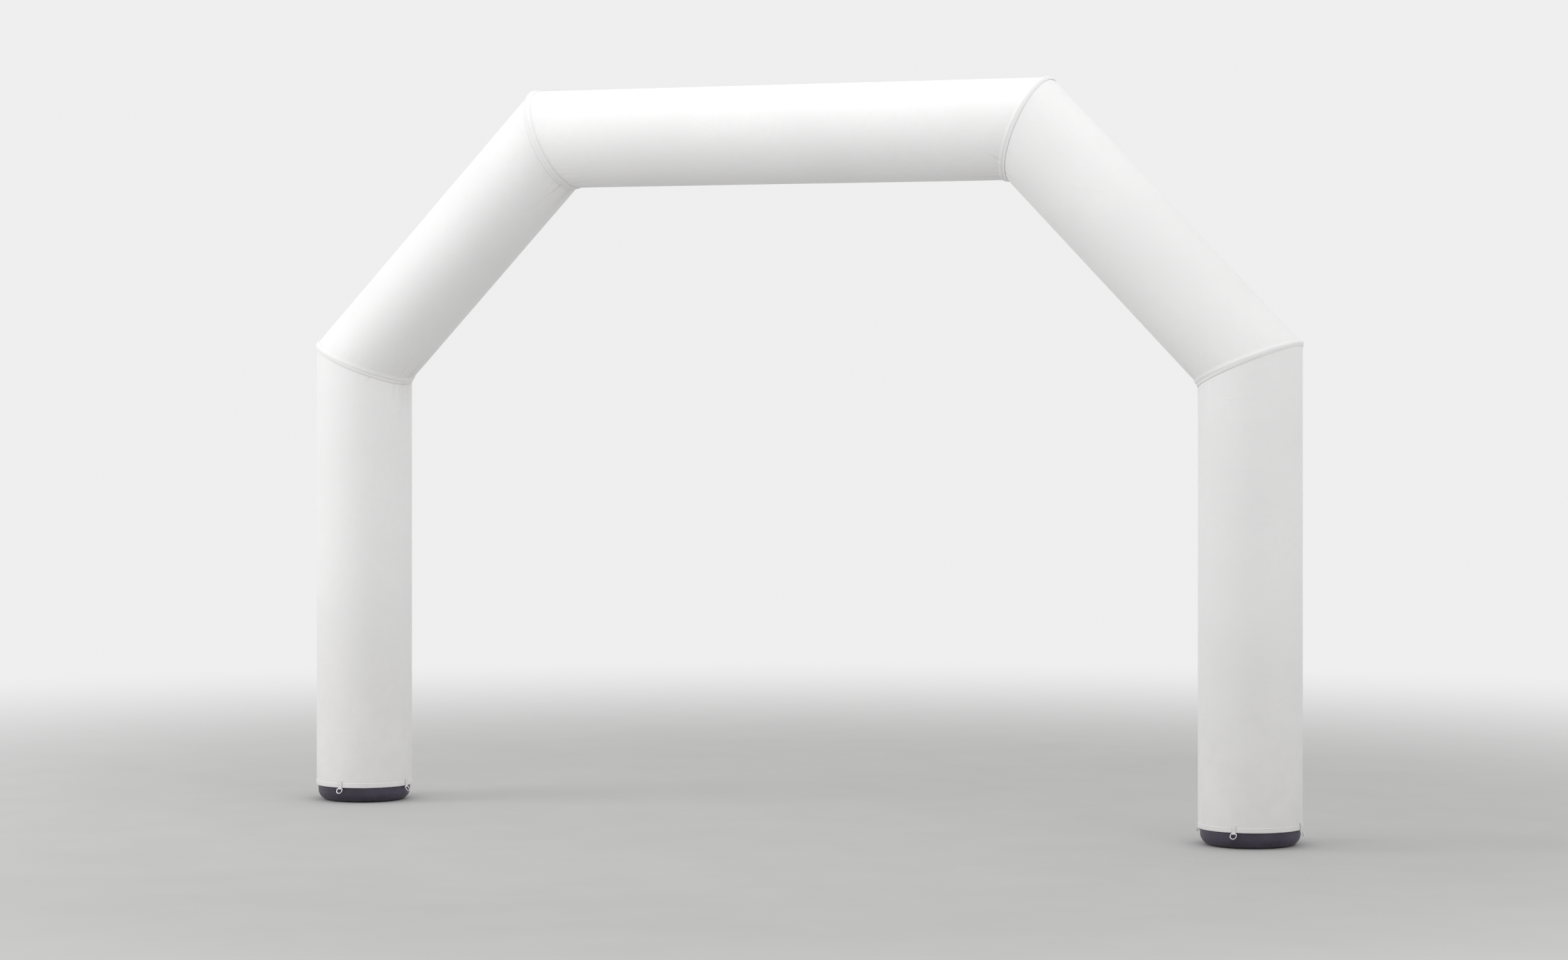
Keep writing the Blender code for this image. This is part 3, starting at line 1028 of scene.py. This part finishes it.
def make_boot(layout, name, foot, tube, material):
    """A boot: a sole, a toe that is a quarter of a circle with shallow pleats, and a wall up into the
    skirt. A welded band, a low step, runs round the wall above the toe."""
    bend = np.linspace(0, math.pi / 2, 19)
    toe_proud = -BOOT_TOE * (1 - np.sin(bend))
    toe_height = BOOT_TOE * (1 - np.cos(bend))
    band = above(BOOT_ROWS, BOOT_BAND[0], BOOT_BAND_STEP) - above(BOOT_ROWS, BOOT_BAND[1], BOOT_BAND_STEP)
    sole_proud = (BOOT_RADIUS - BOOT_TOE) * SOLE_ROWS - BOOT_RADIUS
    height = np.concatenate((0 * SOLE_ROWS, toe_height, BOOT_ROWS))[:, None]
    proud = np.concatenate((sole_proud, toe_proud, BOOT_BAND_PROUD * band))[:, None]
    turns = once_round(BOOT_COLUMNS)
    draw = np.random.default_rng(700 + foot)
    uneven = waves_round(draw, turns, (3, 7, 11, 17), 0.3, 1)
    pleats = np.cos(BOOT_PLEATS * turns + 1.5 * np.cos(5 * turns + draw.uniform(0, TURN))) - 1
    on_toe = np.sin(ramp(height, BOOT_PLEAT_TOP) * math.pi) ** 2 * (height > 0.002)
    proud = proud + BOOT_PLEAT_DEPTH * pleats * on_toe + BOOT_WAVE * uneven * ramp(height, 0.02)
    grid = layout.point(foot, tube, turns, height, proud + BOOT_RADIUS - layout.radius)
    along = run_lengths(np.column_stack((height[:, 0], proud[:, 0])))[:, None] + 0.05
    piece = skin(f"{name}_sheeting", grid, closed_turns(turns)[None] * BOOT_RADIUS, along, material)
    belongs(piece, name)
    return piece


def tab_line():
    """The middle line of a tab's strip, as distance out from the ring's bar and height above it: down the
    inner ply, round the bar and up the outer ply."""
    ply = (WEBBING_THICKNESS + CLEARANCE) / 2
    loop = WIRE_RADIUS + CLEARANCE + WEBBING_THICKNESS / 2
    rise = np.linspace(BAR_DROP - 0.001, BAR_DROP + TAB_HEIGHT, 16)
    inner = np.column_stack((0 * rise - ply, rise[::-1]))
    outer = np.column_stack((0 * rise + ply, rise))
    return np.vstack((inner, arc(0, 0, loop, 150, 390, 25), outer))


def strap_section():
    """A strap's section: a flat bar whose two edges are half circles."""
    half, thick = WEBBING_WIDTH / 2, WEBBING_THICKNESS / 2
    edge = arc(half - thick, 0, thick, -90, 90, 6)
    flat = np.linspace(-1, 1, 12)[1:-1] * (half - thick)
    side = np.column_stack((-flat, 0 * flat + thick))
    return np.vstack((edge, side, -edge, -side))


def round_the_leg(layout, leg_axis, facing, out, aside, height):
    """Points beside a leg: aside is measured round it, so that a flat strap bends with the hem. Above the
    hem's band the strap settles back onto the wall."""
    out, aside, height = np.broadcast_arrays(out, aside, height)
    reach = layout.radius + out - HEM_PROUD * above(height, TAB_SETTLE, TAB_SETTLE_BREADTH)
    turn = facing + aside / layout.radius
    return leg_axis + np.stack((reach * np.cos(turn), reach * np.sin(turn), height), axis=-1)


def tab_place(layout, leg, side):
    """A tab's leg axis, the way it faces, and how far the ring's bar is from the leg's wall."""
    foot, _, mirror = LEGS[leg]
    facing = math.radians(RING_SIDES[side] if mirror > 0 else 180 - RING_SIDES[side])
    return layout.joints[foot], facing, HEM_PROUD + 2 * CLEARANCE + WEBBING_THICKNESS * 1.5


def make_tab(layout, leg, side, material):
    """A webbing tab: a strap's section carried along the folded line, and bent round the leg."""
    leg_axis, facing, bar_out = tab_place(layout, leg, side)
    line, section = tab_line(), strap_section()
    at_fold = bell(line[:, 1:], 0.004)
    aside = (1 - 0.04 * at_fold) * section[:, 0]
    flat = line[:, None] + square_to(np.gradient(line, axis=0))[:, None] * section[None, :, 1:]
    height = HEM_HEIGHT - BAR_DROP + flat[..., 1]
    grid = round_the_leg(layout, leg_axis, facing, bar_out + flat[..., 0], aside, height)
    run = run_lengths(line)[:, None]
    name = f"{leg}_{side}_tab"
    across = looped(section[:, 0])[None] + 0.1
    piece = skin(f"{name}_strap", grid, across, run + 0.05, material, sharp_angle=50)
    at_edge = ramp(np.abs(section[:, 0]) / (WEBBING_WIDTH / 2) - 0.86, 0.14)
    keep_worn_shade(piece, 0.30 * at_edge + 0.25 * at_fold)
    belongs(piece, name)
    return piece


def ring_line():
    """A ring's middle line in its own plane: a straight bar with two tight corners, and a half-round bow."""
    half = RING_WIDTH / 2
    flat = half - RING_CORNER
    right = arc(flat, -RING_CORNER, RING_CORNER, 90, 0, 7)
    bow = arc(0, half - RING_HEIGHT, half, 0, -180, 37)
    left = arc(-flat, -RING_CORNER, RING_CORNER, 180, 90, 7)
    bar = np.linspace(-flat, flat, 12)[1:-1]
    return np.vstack((right, bow, left, np.column_stack((bar, 0 * bar))))


def make_ring(layout, leg, side, material):
    """A lashing ring: a round wire carried along the ring's line, tilted out from the leg. The bar has the
    low bead of its weld at its middle."""
    leg_axis, facing, bar_out = tab_place(layout, leg, side)
    line = ring_line()
    bend = once_round(WIRE_SIDES)
    weld = bell(line[:, 0], WELD_LENGTH) * (line[:, 1] > -0.001)
    wire = WIRE_RADIUS * (1 + WELD_SHARE * weld)[:, None]
    square = square_to(np.roll(line, -1, 0) - np.roll(line, 1, 0))
    flat = line[:, None] + square[:, None] * (wire * np.cos(bend))[..., None]
    aside, drop, depth = flat[..., 0], flat[..., 1], wire * np.sin(bend)
    out = depth * math.cos(RING_TILT) - drop * math.sin(RING_TILT)
    height = drop * math.cos(RING_TILT) + depth * math.sin(RING_TILT)
    away = np.array((math.cos(facing), math.sin(facing), 0))
    bar = leg_axis + away * (layout.radius + bar_out) + UP * (HEM_HEIGHT - BAR_DROP)
    grid = bar + out[..., None] * away + aside[..., None] * np.cross(UP, away) + height[..., None] * UP
    along = run_lengths(looped(line))[:, None]
    across = closed_turns(bend)[None] * WIRE_RADIUS
    name = f"{leg}_{side}_ring"
    return belongs(skin(f"{name}_wire", grid, across, along, material, joined=True), name)


# Sewing: each function gives rows of stitches, as paths and lifts


def welt_sewing(layout, joint, upper, lower):
    """The two rows round a seam's welt."""
    lift = layout.spokes(upper, PATH_TURNS)
    return [(welt_points(layout, joint, upper, lower, PATH_TURNS, *row), lift) for row in WELT_ROWS]


def tube_sewing(layout, tube):
    """The two rows up a tube's closing lap and, on a leg, the row round its hem."""
    rows = []
    for off in (-LAP_ROW, LAP_ROW):
        turn = np.array([LAP_TURN + off / layout.radius])
        ends = []
        for joint in (tube, tube + 1):
            away = np.array(LAP_FOOT) if joint in FEET else np.append(LAP_START, END_ROWS)
            folds = 0 if joint in FEET else layout.gathers(joint, tube, turn, away)
            ends.append(layout.point(joint, tube, turn, away, closing_lap(layout, turn) + folds))
        path = np.vstack((ends[0], ends[1][::-1]))
        rows.append((path, np.repeat(layout.spokes(tube, turn), len(path), 0)))
    for foot, leg_tube, _ in LEGS.values():
        if leg_tube == tube:
            path = layout.point(foot, tube, PATH_TURNS, HEM_ROW, HEM_PROUD - 0.0005)
            rows.append((path, layout.spokes(tube, PATH_TURNS)))
    return rows


def tab_sewing(layout, leg, side):
    """The rows of a tab's box stitch, with its cross."""
    leg_axis, facing, bar_out = tab_place(layout, leg, side)
    half = WEBBING_WIDTH / 2 - BOX_INSET
    low, high = HEM_HEIGHT + BOX_INSET, HEM_HEIGHT + TAB_HEIGHT - BOX_TOP
    corners = {"a": (-half, low), "b": (half, low), "c": (half, high), "d": (-half, high)}
    outer = bar_out + WEBBING_THICKNESS + CLEARANCE / 2
    rows = []
    for start, end in ("ab", "bc", "cd", "da", "ac", "bd"):
        share = np.linspace(0, 1, 40)[:, None]
        flat = np.array(corners[start]) * (1 - share) + np.array(corners[end]) * share
        turn = facing + flat[:, 0] / layout.radius
        path = round_the_leg(layout, leg_axis, facing, outer, flat[:, 0], flat[:, 1])
        rows.append((path, np.column_stack((np.cos(turn), np.sin(turn), 0 * turn))))
    return rows


# The studio


def make_floor(light):
    """A flat round floor, as rings of points with one face inside the smallest."""
    turns = once_round(FLOOR_SIDES)
    radii = FLOOR_RINGS[:, None]
    grid = np.stack((radii * np.cos(turns), radii * np.sin(turns), 0 * radii * turns + FLOOR_HEIGHT), axis=-1)
    index = round_index(len(radii), FLOOR_SIDES)
    faces = quads_of(index)[:, ::-1].tolist() + [index[0, :-1].tolist()]
    mesh = bpy.data.meshes.new("floor")
    mesh.from_pydata(grid.reshape(-1, 3).tolist(), [], faces)
    mesh.shade_smooth()
    floor = put_object("floor", mesh, floor_material(light))


def soft_light(scene, name, power):
    """A large square light that faces a point."""
    place, aim, size = LIGHTS[name]
    lamp = bpy.data.lights.new(name, "AREA")
    lamp.shape = "SQUARE"
    lamp.size = size
    lamp.energy = power
    light = bpy.data.objects.new(name, lamp)
    light.visible_camera = False
    light.location = place
    x, y, z = np.subtract(aim, place)
    light.rotation_euler = (math.atan2(math.hypot(x, y), -z), 0, math.atan2(y, x) - math.pi / 2)
    scene.collection.objects.link(light)


def make_camera(scene):
    """A level camera whose frame is shifted, so that upright lines stay upright."""
    lens = bpy.data.cameras.new("camera")
    lens.lens = CAMERA_LENS
    lens.sensor_fit = "HORIZONTAL"
    lens.sensor_width = 36.0
    lens.shift_y = CAMERA_SHIFT
    lens.clip_end = 900.0
    camera = bpy.data.objects.new("camera", lens)
    camera.location = CAMERA_PLACE
    camera.rotation_euler = (math.radians(90), 0, CAMERA_TURN)
    scene.collection.objects.link(camera)
    scene.camera = camera


# Operators


def cloth_of(scene):
    """The cloth's material, made the first time that it is asked for."""
    return bpy.data.materials.get(CLOTH) or cloth_material(scene.arch_finish, scene.arch_sizes)


class ARCH_OT_tubes(bpy.types.Operator):
    """Make the two legs, the two diagonals and the beam"""

    bl_idname = "arch.tubes"
    bl_label = "Cloth Tubes"

    def execute(self, context):
        layout = Layout(context.scene.arch_sizes)
        cloth = cloth_of(context.scene)
        for tube in range(len(TUBES)):
            make_tube(layout, tube, cloth)
        return {"FINISHED"}


class ARCH_OT_welts(bpy.types.Operator):
    """Make the welt over each mitred seam"""

    bl_idname = "arch.welts"
    bl_label = "Seam Welts"

    def execute(self, context):
        layout = Layout(context.scene.arch_sizes)
        cloth = cloth_of(context.scene)
        for name, (joint, upper, lower) in SEAMS.items():
            make_welt(layout, f"{name}_welt", joint, upper, lower, cloth)
        return {"FINISHED"}


class ARCH_OT_boots(bpy.types.Operator):
    """Make the dark boot at the foot of each leg"""

    bl_idname = "arch.boots"
    bl_label = "Boots"

    def execute(self, context):
        layout = Layout(context.scene.arch_sizes)
        sheeting = sheeting_material(context.scene.arch_finish)
        for leg, (foot, tube, _) in LEGS.items():
            make_boot(layout, f"{leg}_boot", foot, tube, sheeting)
        return {"FINISHED"}


class ARCH_OT_lashings(bpy.types.Operator):
    """Make the webbing tabs and their steel rings"""

    bl_idname = "arch.lashings"
    bl_label = "Tabs and Rings"

    def execute(self, context):
        layout = Layout(context.scene.arch_sizes)
        webbing = webbing_material(context.scene.arch_finish)
        steel = steel_material(context.scene.arch_finish)
        for leg in LEGS:
            for side in RING_SIDES:
                make_ring(layout, leg, side, steel)
                make_tab(layout, leg, side, webbing)
        return {"FINISHED"}


class ARCH_OT_stitching(bpy.types.Operator):
    """Sew the welts, hems, closing laps and tabs"""

    bl_idname = "arch.stitching"
    bl_label = "Stitching"

    def execute(self, context):
        sizes = context.scene.arch_sizes
        layout = Layout(sizes)
        thread = thread_material(context.scene.arch_finish)
        sewing = {name: welt_sewing(layout, *seam) for name, seam in SEAMS.items()}
        sewing.update((name, tube_sewing(layout, tube)) for tube, name in enumerate(TUBES))
        for name, rows in sewing.items():
            sew(f"{name}_stitching", rows, sizes.stitch_pitch, sizes.thread_width, thread)
        for leg in LEGS:
            rows = [row for side in RING_SIDES for row in tab_sewing(layout, leg, side)]
            sew(f"{leg}_tab_stitching", rows, BOX_PITCH, sizes.thread_width, thread)
        return {"FINISHED"}


class ARCH_OT_studio(bpy.types.Operator):
    """Make the pale floor, the soft lights and the camera"""

    bl_idname = "arch.studio"
    bl_label = "Studio"

    def execute(self, context):
        scene = context.scene
        finish = scene.arch_finish
        scene.view_settings.view_transform = "Standard"
        scene.view_settings.look = "None"
        light = finish.backdrop_light
        world = bpy.data.worlds.new("studio")
        world.use_nodes = True
        world.node_tree.nodes["Background"].inputs["Color"].default_value = (light, light, light, 1)
        scene.world = world
        make_floor(light)
        for name in LIGHTS:
            soft_light(scene, name, getattr(finish, f"{name}_power"))
        make_camera(scene)
        return {"FINISHED"}


class ARCH_PT_panel(bpy.types.Panel):
    """The arch's pieces, sizes and colours"""

    bl_idname = "ARCH_PT_panel"
    bl_label = "Inflatable Arch"
    bl_space_type = "VIEW_3D"
    bl_region_type = "UI"
    bl_category = "Arch"

    def draw(self, context):
        for operator in OPERATORS:
            self.layout.operator(operator.bl_idname)
        for group in (context.scene.arch_sizes, context.scene.arch_finish):
            box = self.layout.box()
            for name in group.__annotations__:
                box.prop(group, name)


OPERATORS = (
    ARCH_OT_tubes,
    ARCH_OT_welts,
    ARCH_OT_boots,
    ARCH_OT_lashings,
    ARCH_OT_stitching,
    ARCH_OT_studio,
)
CLASSES = (ArchSizes, ArchFinish, *OPERATORS, ARCH_PT_panel)


def register():
    for cls in CLASSES:
        bpy.utils.register_class(cls)
    bpy.types.Scene.arch_sizes = PointerProperty(type=ArchSizes)
    bpy.types.Scene.arch_finish = PointerProperty(type=ArchFinish)


def unregister():
    del bpy.types.Scene.arch_finish
    del bpy.types.Scene.arch_sizes
    for cls in reversed(CLASSES):
        bpy.utils.unregister_class(cls)


def main():
    register()
    bpy.ops.arch.tubes()
    bpy.ops.arch.welts()
    bpy.ops.arch.boots()
    bpy.ops.arch.lashings()
    bpy.ops.arch.stitching()
    bpy.ops.arch.studio()


if __name__ == "__main__":
    main()
